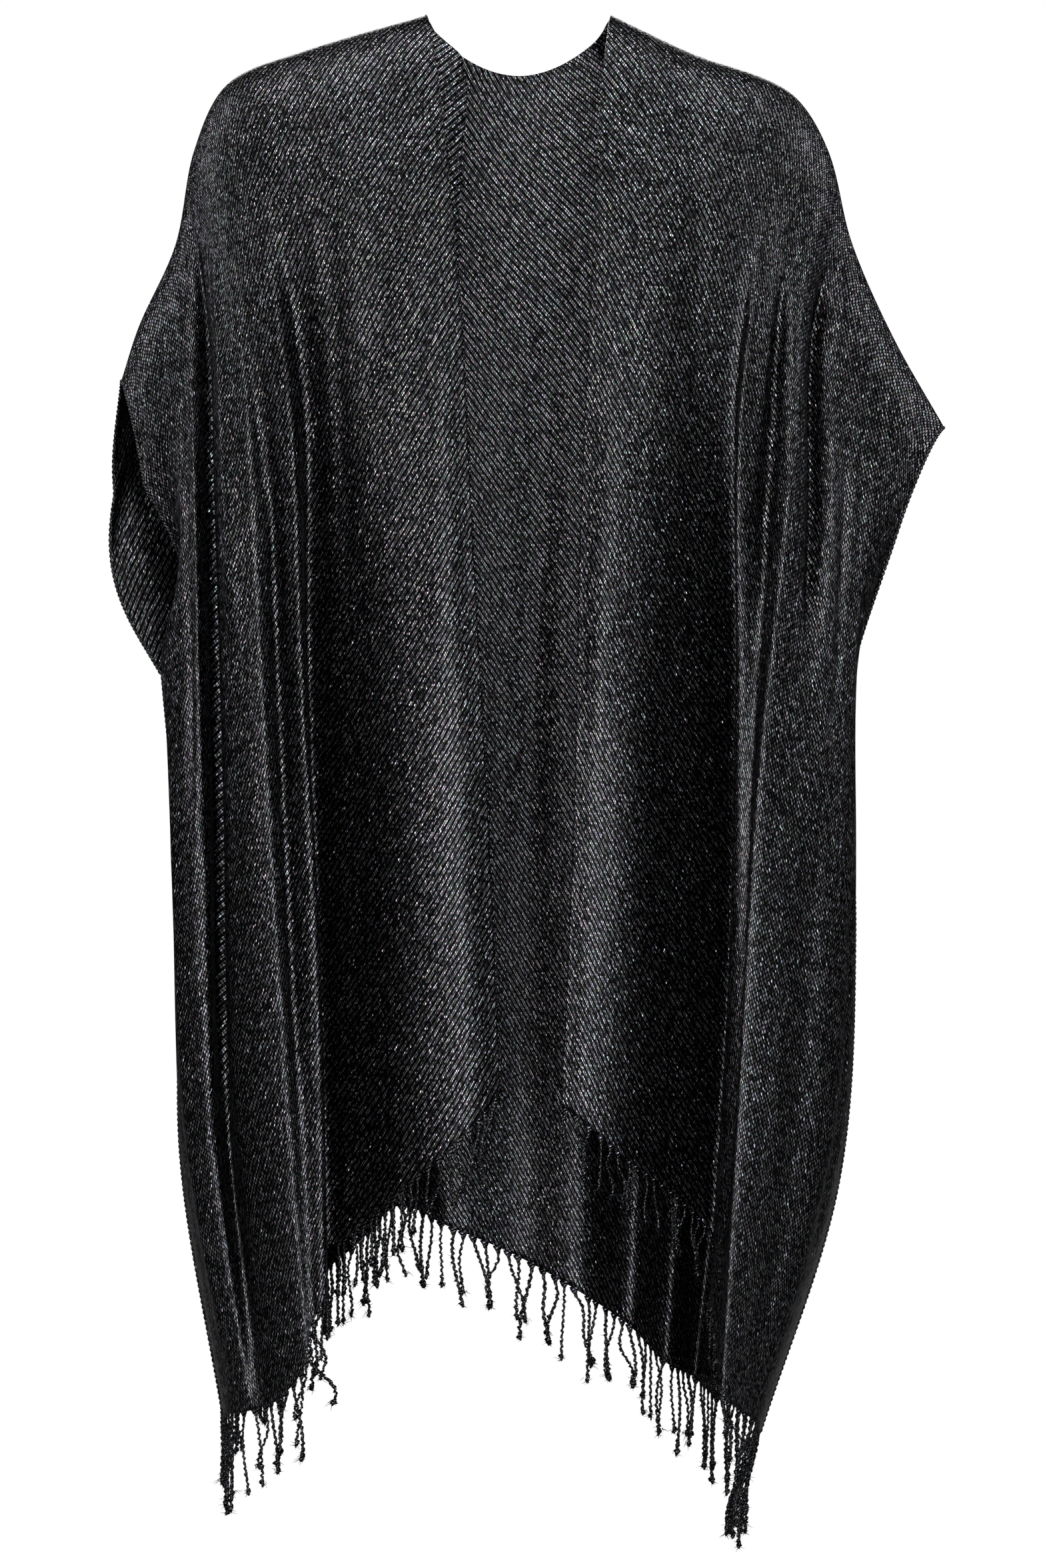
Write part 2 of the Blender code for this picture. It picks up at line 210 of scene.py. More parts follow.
BACK = (
    Fold(-1.00, (-280, 40), (-245, 6), (-232, 12), (-232, 8), (-203, 4), -955),
    Fold(-0.91, (-270, 45), (-240, 32), (-236, 48), (-232, 50), (-206, 44), -949),
    Fold(-0.80, (-250, 54), (-226, 68), (-219, 86), (-215, 92), (-190, 90), -932),
    Fold(-0.69, (-230, 44), (-204, 62), (-192, 60), (-186, 56), (-165, 62), -908),
    Fold(-0.57, (-208, 60), (-184, 98), (-172, 110), (-166, 115), (-146, 112), -880),
    Fold(-0.44, (-180, 56), (-152, 86), (-140, 82), (-132, 78), (-115, 78), -850),
    Fold(-0.31, (-148, 68), (-120, 108), (-106, 120), (-98, 124), (-86, 120), -826),
    Fold(-0.17, (-84, 65), (-74, 90), (-66, 97), (-58, 98), (-50, 96), -838),
    Fold(0.00, (0, 76), (0, 95), (0, 103), (0, 107), (2, 108), -862),
    Fold(0.15, (78, 66), (66, 92), (56, 98), (48, 99), (42, 97), -884),
    Fold(0.29, (132, 70), (110, 108), (96, 120), (88, 123), (80, 118), -912),
    Fold(0.42, (164, 57), (142, 86), (126, 82), (116, 78), (103, 80), -932),
    Fold(0.55, (196, 60), (170, 98), (156, 110), (146, 114), (125, 110), -947),
    Fold(0.67, (216, 44), (190, 62), (178, 58), (168, 54), (140, 66), -956),
    Fold(0.79, (236, 56), (212, 80), (206, 86), (194, 88), (158, 86), -962),
    Fold(0.91, (254, 44), (224, 46), (230, 50), (216, 46), (168, 42), -968),
    Fold(1.00, (258, 38), (223, 5), (231, 12), (219, 8), (165, 3), -970),
)

LEFT_TURNED = (
    (0, 0.2), (10, 1), (15.6, 4), (22.7, 10), (27.5, 15), (32, 19),
    (54, 20.5), (80, 16.4), (99, 12.3), (137, 6.8), (182, 2.3), (800, 1.6),
)
LEFT_CREASES = (
    Crease((0.62, 0.06), (0.62, 0.80), 4.5, -9.0, 1.5),
    Crease((0.42, 0.34), (0.425, 0.82), 4.5, -4.0),
    Crease((0.45, 0.12), (0.43, 0.36), 6.0, -1.6),
    Crease((0.09, 0.03), (0.20, 0.36), 16.0, -2.0, 4.0),
    Crease((0.05, 0.30), (0.10, 0.62), 14.0, 2.0),
    Crease((0.24, 0.16), (0.27, 0.50), 11.0, -1.4, -3.0),
    Crease((0.53, 0.10), (0.52, 0.45), 8.0, 3.0),
    Crease((0.76, 0.12), (0.76, 0.52), 9.0, -3.5, 2.0),
    Crease((0.86, 0.40), (0.80, 0.98), 9.0, 2.6, -2.0),
    Crease((0.70, 0.52), (0.72, 0.78), 8.0, 2.0),
)
RIGHT_CREASES = (
    Crease((0.585, 0.07), (0.60, 0.38), 5.0, -8.0),
    Crease((0.445, 0.14), (0.44, 0.40), 7.0, -5.0),
    Crease((0.14, 0.04), (0.24, 0.34), 16.0, -2.0, -4.0),
    Crease((0.10, 0.36), (0.07, 0.66), 12.0, 1.8),
    Crease((0.74, 0.16), (0.72, 0.44), 8.0, -3.5),
    Crease((0.86, 0.10), (0.80, 0.38), 9.0, 2.5),
    Crease((0.90, 0.46), (0.84, 0.86), 10.0, -2.5, 2.0),
    Crease((0.66, 0.52), (0.68, 0.97), 12.0, -2.0),
)
BACK_CREASES = (
    Crease((-0.40, 0.10), (-0.46, 0.60), 9.0, -4.0, 3.0),
    Crease((-0.62, 0.30), (-0.64, 0.92), 7.0, -4.5),
    Crease((-0.20, 0.04), (-0.26, 0.42), 14.0, -3.0, -5.0),
    Crease((0.06, 0.14), (0.02, 0.70), 12.0, 2.5, 3.0),
    Crease((0.24, 0.05), (0.30, 0.46), 13.0, -3.0, 4.0),
    Crease((0.47, 0.16), (0.44, 0.80), 7.0, -4.5, -2.0),
    Crease((0.70, 0.10), (0.66, 0.50), 9.0, -3.5),
    Crease((0.84, 0.36), (0.86, 0.95), 8.0, -3.5, 2.0),
    Crease((-0.86, 0.30), (-0.84, 0.80), 8.0, -3.0),
    Crease((-0.08, 0.55), (-0.12, 0.96), 9.0, -3.0, 2.0),
    Crease((0.60, 0.58), (0.58, 0.97), 8.0, 3.0),
)


def smooth_weights(knots: list[float], places: Array, first_scale: float = 1.0) -> Array:
    """Work out how a smooth curve through values at rising knots is read.

    Args:
        knots: where the values lie.
        places: where the curve is read.
        first_scale: how much steeper than usual the curve leaves its first knot.

    Returns:
        One row of weights for each place, to multiply the values at the knots by.
    """
    at = np.asarray(knots, float)
    count = len(at)
    slopes = np.zeros((count, count))
    for index in range(count):
        before, after = max(index - 1, 0), min(index + 1, count - 1)
        slopes[index, after] += 1 / (at[after] - at[before])
        slopes[index, before] -= 1 / (at[after] - at[before])
    slopes[0] *= first_scale
    index = np.clip(np.searchsorted(at, places, side="right") - 1, 0, count - 2)
    span = at[index + 1] - at[index]
    s = (places - at[index]) / span
    unit = np.eye(count)
    return (
        (2 * s**3 - 3 * s**2 + 1)[:, None] * unit[index]
        + ((s**3 - 2 * s**2 + s) * span)[:, None] * slopes[index]
        + (3 * s**2 - 2 * s**3)[:, None] * unit[index + 1]
        + ((s**3 - s**2) * span)[:, None] * slopes[index + 1]
    )


def ease(share: Array) -> Array:
    """Rise smoothly from 0 to 1 as the share does."""
    held = np.clip(share, 0.0, 1.0)
    return held * held * (3 - 2 * held)


def fall(down: Array) -> Array:
    """Share of a warp line's drop at a share of its length: it lingers over the shoulder."""
    lag = SHOULDER_LAG * (1 - np.exp(-down / SHOULDER_TURN))
    return (down - lag) / (1 - SHOULDER_LAG)


def shoulder_points(shoulder: tuple[Shoulder, ...], shares: Array) -> Array:
    """Points of a shoulder fold at shares of its length, from the neck point to the sleeve tip."""
    line = np.array([(point.x, 0.0, point.z) for point in shoulder]) * MM
    lengths = np.concatenate([[0.0], np.cumsum(np.linalg.norm(np.diff(line, axis=0), axis=1))])
    return smooth_weights(list(lengths), shares * lengths[-1]) @ line


def front_top(shoulder: tuple[Shoulder, ...]) -> Callable[[Array], Array]:
    """Make the function that gives a front's top edge, which is its shoulder fold."""

    def top(across: Array) -> Array:
        """Points of the top edge at shares across the front."""
        return shoulder_points(shoulder, across)

    return top


def back_top(across: Array) -> Array:
    """Points of the back's top edge: a shoulder fold, the neck edge and the other fold."""
    share = np.clip(across / NECK_SHARE, -1, 1)
    sink = 1 - np.abs(share) ** NECK_ROUNDNESS
    behind = NECK_BACK_DEPTH * (1 - np.abs(share) ** NECK_SQUARENESS)
    neck = np.stack([NECK_HALF_WIDTH * share, behind, -NECK_DROP * sink], axis=1)
    along = np.clip((np.abs(across) - NECK_SHARE) / (1 - NECK_SHARE), 0, 1)
    left = shoulder_points(SHOULDER_LEFT, along)
    right = shoulder_points(SHOULDER_RIGHT, along)
    beyond = np.where((across < 0)[:, None], left, right)
    return np.where((np.abs(across) < NECK_SHARE)[:, None], neck, beyond)


def unit_rows(vectors: Array) -> Array:
    """Scale each vector along the last axis to length 1."""
    return vectors / np.maximum(np.linalg.norm(vectors, axis=-1, keepdims=True), 1e-12)


def run_lengths(points: Array, axis: int) -> Array:
    """Length run along one axis of a grid of points, from its first line."""
    steps = np.linalg.norm(np.diff(points, axis=axis), axis=-1)
    start = np.zeros_like(np.take(steps, [0], axis=axis))
    return np.cumsum(np.concatenate([start, steps], axis=axis), axis=axis)


@dataclass
class Panel:
    """One panel of cloth, from its table of warp lines to a thin dressed shell.

    Attributes:
        name: name of the piece.
        node: the solid that the piece stands for.
        rows: the table of warp lines.
        top: gives the top edge's points at shares across.
        outward: -1 where the panel's face looks to the front, 1 where it looks to the back.
        lean: which way its ribs lean.
        columns: faces across.
        lines: faces down.
        flat: the cut's width and length in metres; not used.
        sag: how its slack armhole edge hangs.
        creases: its small creases.
        turned: width of the open edge's turned-in strip at each distance down it, in mm.
        slack_shear: how far the slack armhole edge is pulled round, in metres down for a metre across.
        slack_start: share across at which that begins.
    """

    name: str
    node: str
    rows: tuple[Fold, ...]
    top: Callable[[Array], Array]
    outward: int
    lean: Lean
    columns: int
    lines: int
    flat: Pair
    sag: Sag | None = None
    creases: tuple[Crease, ...] = ()
    turned: tuple[Pair, ...] = ()
    slack_shear: float = 0.0
    slack_start: float = 0.82
    wall: float = 0.9 * MM
    turned_columns: int = 9
    turned_gap: float = 2.6 * MM
    turned_tuck: float = 1.2 * MM
    turned_depth: float = 7 * MM
    points: Array = field(init=False, repr=False)
    normals: Array = field(init=False, repr=False)
    flat_u: Array = field(init=False, repr=False)
    weave_u: Array = field(init=False, repr=False)
    flat_v: Array = field(init=False, repr=False)

    def __post_init__(self) -> None:
        """Work out the panel's grid of points."""
        first = self.rows[0].across
        self.across = np.linspace(first, 1.0, self.columns + 1)
        self.down = np.linspace(0.0, 1.0, self.lines + 1)
        self.points = self.draped()
        self.measure()
        self.press_creases()
        self.measure()

    def line_points(self) -> Array:
        """Points of every table row's warp line, by level down and by row."""
        starts = self.top(np.array([row.across for row in self.rows]))
        places = np.array([(row.sleeve, row.underarm, row.waist, row.hip, row.hem) for row in self.rows])
        flat = np.concatenate([starts[:, None, :2], places * MM], axis=1)
        x = smooth_weights(list(LEVELS), self.down) @ flat[:, :, 0].T
        y = smooth_weights(list(LEVELS), self.down, SHOULDER_ROUND) @ flat[:, :, 1].T
        if self.outward > 0:
            easy = smooth_weights(list(LEVELS), self.down, NECK_EASE) @ flat[:, :, 1].T
            at_neck = np.array([abs(row.across) < NECK_SHARE for row in self.rows])
            y = np.where(at_neck[None], easy, y)
        drops = np.array([row.hem_z * MM for row in self.rows]) - starts[:, 2]
        z = starts[None, :, 2] + fall(self.down)[:, None] * drops[None, :]
        return np.stack([x, y, z], axis=-1)

    def draped(self) -> Array:
        """Points of the panel's drape, before its small creases."""
        knots = [row.across for row in self.rows]
        weights = smooth_weights(knots, self.across)
        points = np.einsum("ck,dkx->dcx", weights, self.line_points())
        top = self.top(self.across)
        bend = top - weights @ self.top(np.array(knots))
        points += bend[None] * ((1 - self.down) ** TOP_EDGE_FADE)[:, None, None]
        points[0] = top
        if self.sag:
            self.hang_slack_edge(points)
        for side in {-1, 1} & {round(knots[0]), round(knots[-1])}:
            self.join_side(points, side)
        return points

    def hang_slack_edge(self, points: Array) -> None:
        """Move the armhole's slack edge, between sleeve tip and tack."""
        wave = np.sin(np.pi * np.clip((self.down - SAG_START) / (UNDERARM - SAG_START), 0, 1))
        edge = ease((self.sag.side * self.across - 1 + SAG_REACH) / SAG_REACH)
        move = np.array((self.sag.dx, self.sag.dy, self.sag.dz)) * MM
        points += wave[:, None, None] * edge[None, :, None] * move

    def join_side(self, points: Array, side: int) -> None:
        """Bring the cloth beside a side seam onto the line that both panels share."""
        row = self.rows[-1] if side > 0 else self.rows[0]
        start = self.top(np.array([float(side)]))[0]
        below = self.down >= UNDERARM
        places = np.array([row.underarm, row.waist, row.hip, row.hem]) * MM
        plan = smooth_weights(list(LEVELS[2:]), self.down[below]) @ places
        z = start[2] + (row.hem_z * MM - start[2]) * fall(self.down[below])
        seam = np.column_stack([plan, z])
        column = -1 if side > 0 else 0
        near = ease((side * self.across - 1 + SEAM_BLEND) / SEAM_BLEND)
        points[below] += (seam - points[below, column])[:, None] * near[None, :, None]

    def measure(self) -> None:
        """Measure the grid: its normals, and its flat widths and lengths in metres."""
        over = np.gradient(self.points, axis=1)
        along = np.gradient(self.points, axis=0)
        normals = unit_rows(np.cross(over, along))
        if np.sum(normals[..., 1]) * self.outward < 0:
            normals = -normals
        self.normals = normals
        self.flat_u = self.even_widths(1.0)
        self.weave_u = self.even_widths(WEAVE_DEPTH)
        self.flat_v = run_lengths(self.points, 0)
        if self.rows[0].across < 0:
            self.flat_v = self.flat_v - self.flat_v[-1:]

    def even_widths(self, depth: float) -> Array:
        """Flat widths, the same all down each warp line.

        Args:
            depth: share of the folds' depth that is counted. The weave takes less than the whole
                of it, so that its ribs don't close up on the steep sides of a fold.

        Returns:
            The widths over the grid, from the open edge or the back's middle.
        """
        run = run_lengths(self.points * (1.0, depth, 1.0), 1).mean(axis=0)
        if self.rows[0].across < 0:
            run = run - run[int(np.argmin(np.abs(self.across)))]
        return np.repeat(run[None], len(self.down), axis=0)

    def press_creases(self) -> None:
        """Raise or sink the small creases along the cloth's normals."""
        height = np.zeros(self.points.shape[:2])
        for crease in self.creases:
            height += self.crease_height(crease)
        fade = ease(self.down / CREASE_TOP)[:, None]
        self.points = self.points + self.normals * (height * fade)[..., None]

    def crease_height(self, crease: Crease) -> Array:
        """Height of one crease over the grid, in metres."""
        start, end = (self.flat_place(*place) for place in (crease.start, crease.end))
        run = end - start
        length = float(np.linalg.norm(run))
        along = run / length
        side = np.array([-along[1], along[0]])
        offset_u = self.flat_u - start[0]
        offset_v = self.flat_v - start[1]
        share = (offset_u * along[0] + offset_v * along[1]) / length
        bow = crease.bow * MM * np.sin(np.pi * np.clip(share, 0, 1))
        aside = (offset_u * side[0] + offset_v * side[1] - bow) / (crease.width * MM)
        ends = ease((share + CREASE_PAST) / CREASE_FADE) * ease((1 + CREASE_PAST - share) / CREASE_FADE)
        power = SHARP if crease.height < DEEP else SOFT
        return crease.height * MM * np.exp(-np.abs(aside) ** power) * ends

    def flat_place(self, across: float, down: float) -> Array:
        """Flat width and length at a place given by its shares across and down."""
        column = int(round((across - self.across[0]) / (1 - self.across[0]) * self.columns))
        line = int(round(down * self.lines))
        return np.array([self.flat_u[line, column], self.flat_v[line, column]])

    def with_turned_edge(self) -> tuple[Array, Array, Array]:
        """Add the strip that the open edge turns in at the neck, as columns before the first.

        Returns:
            The grid's points, and its flat widths and lengths for the weave.
        """
        if not self.turned:
            return self.points, self.weave_u, self.flat_v
        drops, widths = np.array(self.turned).T * MM
        width = np.interp(-self.points[:, 0, 2], drops, widths)[:, None]
        count = self.turned_columns
        share = np.linspace(1, 0, count)[None]
        toward = -math.copysign(1.0, self.rows[1].sleeve[0])
        aside = toward * (width * share - self.turned_tuck)
        behind = self.turned_gap + self.turned_depth * share * width / widths.max()
        strip = self.points[:, :1] + np.stack([aside, behind, np.zeros_like(aside)], axis=-1)
        before = -np.linspace(1, 1 / count, count) * width
        lengths = np.repeat(self.flat_v[:, :1], count, axis=1)
        pairs = ((strip, self.points), (before, self.weave_u), (lengths, self.flat_v))
        return tuple(np.concatenate(pair, axis=1) for pair in pairs)

    def build(self, material: bpy.types.Material) -> bpy.types.Object:
        """Make the panel's thin shell.

        Args:
            material: the cloth's material.

        Returns:
            The panel's object, with its wall applied.
        """
        points, flat_u, flat_v = self.with_turned_edge()
        sign = -1.0 if self.rows[1].sleeve[0] < 0 and self.rows[0].across == 0 else 1.0
        flat = np.stack([sign * flat_u * self.lean.value, self.slack_pull() - flat_v], axis=-1)
        piece = shaped_grid(self.name, points, flat)
        face_out(piece.data, Vector((0.0, float(self.outward), 0.0)))
        wall = piece.modifiers.new("wall", "SOLIDIFY")
        wall.thickness = self.wall
        wall.offset = -1.0
        apply_modifiers(piece)
        piece.data.materials.append(material)
        piece.data.shade_smooth()
        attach(piece, BODY)
        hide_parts(self.node)
        LOG.info("%s: %.3f x %.3f m of cloth", self.name, np.mean(np.ptp(self.flat_u, axis=1)),
                 np.mean(np.ptp(self.flat_v, axis=0)))
        return piece

    def slack_pull(self) -> Array | float:
        """How far the slack armhole edge has drawn the weave up, over the grid."""
        if not self.slack_shear:
            return 0.0
        first = int(np.argmin(np.abs(self.sag.side * self.across - self.slack_start)))
        beyond = (self.weave_u - self.weave_u[:, first:first + 1]) * self.sag.side
        return self.slack_shear * np.maximum(beyond, 0.0)

    def edge(self, side: int, first: float, last: float) -> tuple[Array, Array]:
        """Points and normals of a side edge between two shares down.

        Args:
            side: -1 for the first column, 1 for the last.
            first: share down where it starts.
            last: share down where it ends.

        Returns:
            The edge's points and its cloth's normals.
        """
        column = 0 if side < 0 else -1
        kept = (self.down >= first) & (self.down <= last)
        return self.points[kept, column], self.normals[kept, column]


def deselect() -> None:
    """Deselect every object, so that an operator acts on what it adds."""
    bpy.ops.object.select_all(action="DESELECT")


def choose(piece: bpy.types.Object) -> None:
    """Select one piece alone and make it the active one."""
    deselect()
    piece.select_set(True)
    bpy.context.view_layer.objects.active = piece


def shaped_grid(name: str, points: Array, flat: Array) -> bpy.types.Object:
    """Add a grid primitive, bring its corners to a grid of points and write its flat map.

    Args:
        name: the new piece's name.
        points: the places, by line down and column across.
        flat: the flat coordinates there, in metres.

    Returns:
        The new object.
    """
    lines, columns = points.shape[0] - 1, points.shape[1] - 1
    deselect()
    bpy.ops.mesh.primitive_grid_add(x_subdivisions=columns, y_subdivisions=lines, size=2)
    piece = bpy.context.object
    piece.name = name
    mesh = piece.data
    mesh.name = name
    uses = ((mesh.vertices, "co", -1.0, points), (mesh.uv_layers.active.data, "uv", 0.0, flat))
    for items, label, low, values in uses:
        start = np.empty(len(items) * values.shape[2])
        items.foreach_get(label, start)
        share = (start.reshape(len(items), -1) - low) / (1 - low)
        column = np.rint(share[:, 0] * columns).astype(int)
        line = np.rint((1 - share[:, 1]) * lines).astype(int)
        items.foreach_set(label, values[line, column].ravel())
    mesh.update()
    return piece


def face_out(mesh: bpy.types.Mesh, outward: Vector) -> None:
    """Turn an open sheet's faces so that most of its area looks along outward."""
    lean = sum(face.normal.dot(outward) * face.area for face in mesh.polygons)
    if lean < 0:
        mesh.flip_normals()


def apply_modifiers(piece: bpy.types.Object) -> None:
    """Apply a piece's modifiers, in their order."""
    choose(piece)
    for modifier in list(piece.modifiers):
        bpy.ops.object.modifier_apply(modifier=modifier.name)


@dataclass
class RingSkin:
    """Collects lofted rings of corners, with a flat map, into one mesh."""

    sides: int
    corners: list[Array] = field(default_factory=list)
    maps: list[Array] = field(default_factory=list)
    faces: list[tuple[int, ...]] = field(default_factory=list)
    count: int = 0

    def add(self, rings: Array, girth: float) -> None:
        """Add one closed tube of rings.

        Args:
            rings: corners by ring and side, in metres.
            girth: length round the tube, for its map.
        """
        number, sides = rings.shape[:2]
        run = run_lengths(rings.mean(axis=1), 0)
        round_share = np.arange(sides) / sides * girth
        base = self.count
        self.corners.append(rings.reshape(-1, 3))
        self.maps.append(np.stack(np.meshgrid(round_share, run), axis=-1).reshape(-1, 2))
        for ring in range(number - 1):
            low = base + ring * sides
            for side in range(sides):
                after = (side + 1) % sides
                self.faces.append((low + side, low + after, low + sides + after, low + sides + side))
        self.faces.append(tuple(base + side for side in reversed(range(sides))))
        self.faces.append(tuple(base + (number - 1) * sides + side for side in range(sides)))
        self.count += number * sides

    def build(self, name: str, material: bpy.types.Material) -> bpy.types.Object:
        """Make one object of all the tubes, facing outwards.

        Args:
            name: the piece's name.
            material: its material.

        Returns:
            The new object.
        """
        mesh = bpy.data.meshes.new(name)
        mesh.from_pydata(np.concatenate(self.corners).tolist(), [], self.faces)
        layer = mesh.uv_layers.new(name="UVMap")
        looked_up = np.empty(len(mesh.loops), dtype=int)
        mesh.loops.foreach_get("vertex_index", looked_up)
        layer.data.foreach_set("uv", np.concatenate(self.maps)[looked_up].ravel())
        mesh.materials.append(material)
        piece = bpy.data.objects.new(name, mesh)
        bpy.context.scene.collection.objects.link(piece)
        choose(piece)
        bpy.ops.object.mode_set(mode="EDIT")
        bpy.ops.mesh.select_all(action="SELECT")
        bpy.ops.mesh.normals_make_consistent(inside=False)
        bpy.ops.object.mode_set(mode="OBJECT")
        mesh.shade_smooth()
        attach(piece, BODY)
        return piece


def resampled(points: Array, values: Array, step: float) -> tuple[Array, Array, Array]:
    """Read a line and values along it at even steps.

    Args:
        points: the line's points.
        values: values at those points, in rows.
        step: distance between the new points, in metres.

    Returns:
        The new points, the values there, and the length run.
    """
    run = run_lengths(points, 0)
    places = np.linspace(0, run[-1], max(2, int(round(run[-1] / step)) + 1))
    read = [np.interp(places, run, points[:, axis]) for axis in range(3)]
    read_values = [np.interp(places, run, values[:, axis]) for axis in range(values.shape[1])]
    return np.stack(read, axis=1), np.stack(read_values, axis=1), places


def ring_turns(sides: int) -> Array:
    """Angles of a ring's corners."""
    return np.arange(sides) / sides * TURN


def tube(line: Array, wide: Array, deep: Array, half_wide: Array,
         half_deep: Array, sides: int) -> Array:
    """Lay rings of corners round a line.

    Args:
        line: the rings' middles.
        wide: directions across it, one for each ring or one for all.
        deep: directions through it, likewise.
        half_wide: half widths, by ring and by side or 1.
        half_deep: half depths, likewise.
        sides: corners to a ring.

    Returns:
        The corners, by ring and side.
    """
    turns = ring_turns(sides)
    across = (half_wide * np.cos(turns))[..., None] * wide.reshape(-1, 1, 3)
    through = (half_deep * np.sin(turns))[..., None] * deep.reshape(-1, 1, 3)
    return line[:, None] + across + through


@dataclass
class RolledEdge:
    """A cloth edge rolled and oversewn, so that the twill's ribs bead it.

    Attributes:
        radius: the roll's radius where the beads are widest.
        neck: its radius between beads, as a share of that.
        bead: length of one bead.
        slant: how far a bead leans along the edge, as a share of its length.
        steps: rings to a bead.
    """

    radius: float = 1.5 * MM
    neck: float = 0.5
    bead: float = 3.7 * MM
    slant: float = 0.45
    steps: int = 6

    def add_to(self, skin: RingSkin, points: Array, normals: Array, first: float) -> None:
        """Add one rolled edge to a skin.

        Args:
            skin: collects the rings.
            points: the cloth's edge.
            normals: the cloth's normals there.
            first: share of the radius at the edge's start.
        """
        line, face, run = resampled(points, normals, self.bead / self.steps)
        tangent = unit_rows(np.gradient(line, axis=0))
        face = unit_rows(face - tangent * np.sum(face * tangent, axis=1, keepdims=True))
        side = np.cross(tangent, face)
        swell = self.neck + (1 - self.neck) * np.abs(np.sin(np.pi * run / self.bead))
        size = (self.radius * swell * np.interp(run, (0, run[-1]), (first, 1.0)))[:, None]
        rings = tube(line, side, face, size, size, skin.sides)
        lean = self.slant * self.bead / 2 * np.cos(ring_turns(skin.sides))
        skin.add(rings + lean[None, :, None] * tangent[:, None], TURN * self.radius)


class Root(NamedTuple):
    """Where a cord leaves the hem: its point, three directions, share across and run along."""

    point: Array
    face: Array
    warp: Array
    along: Array
    across: float
    run: float


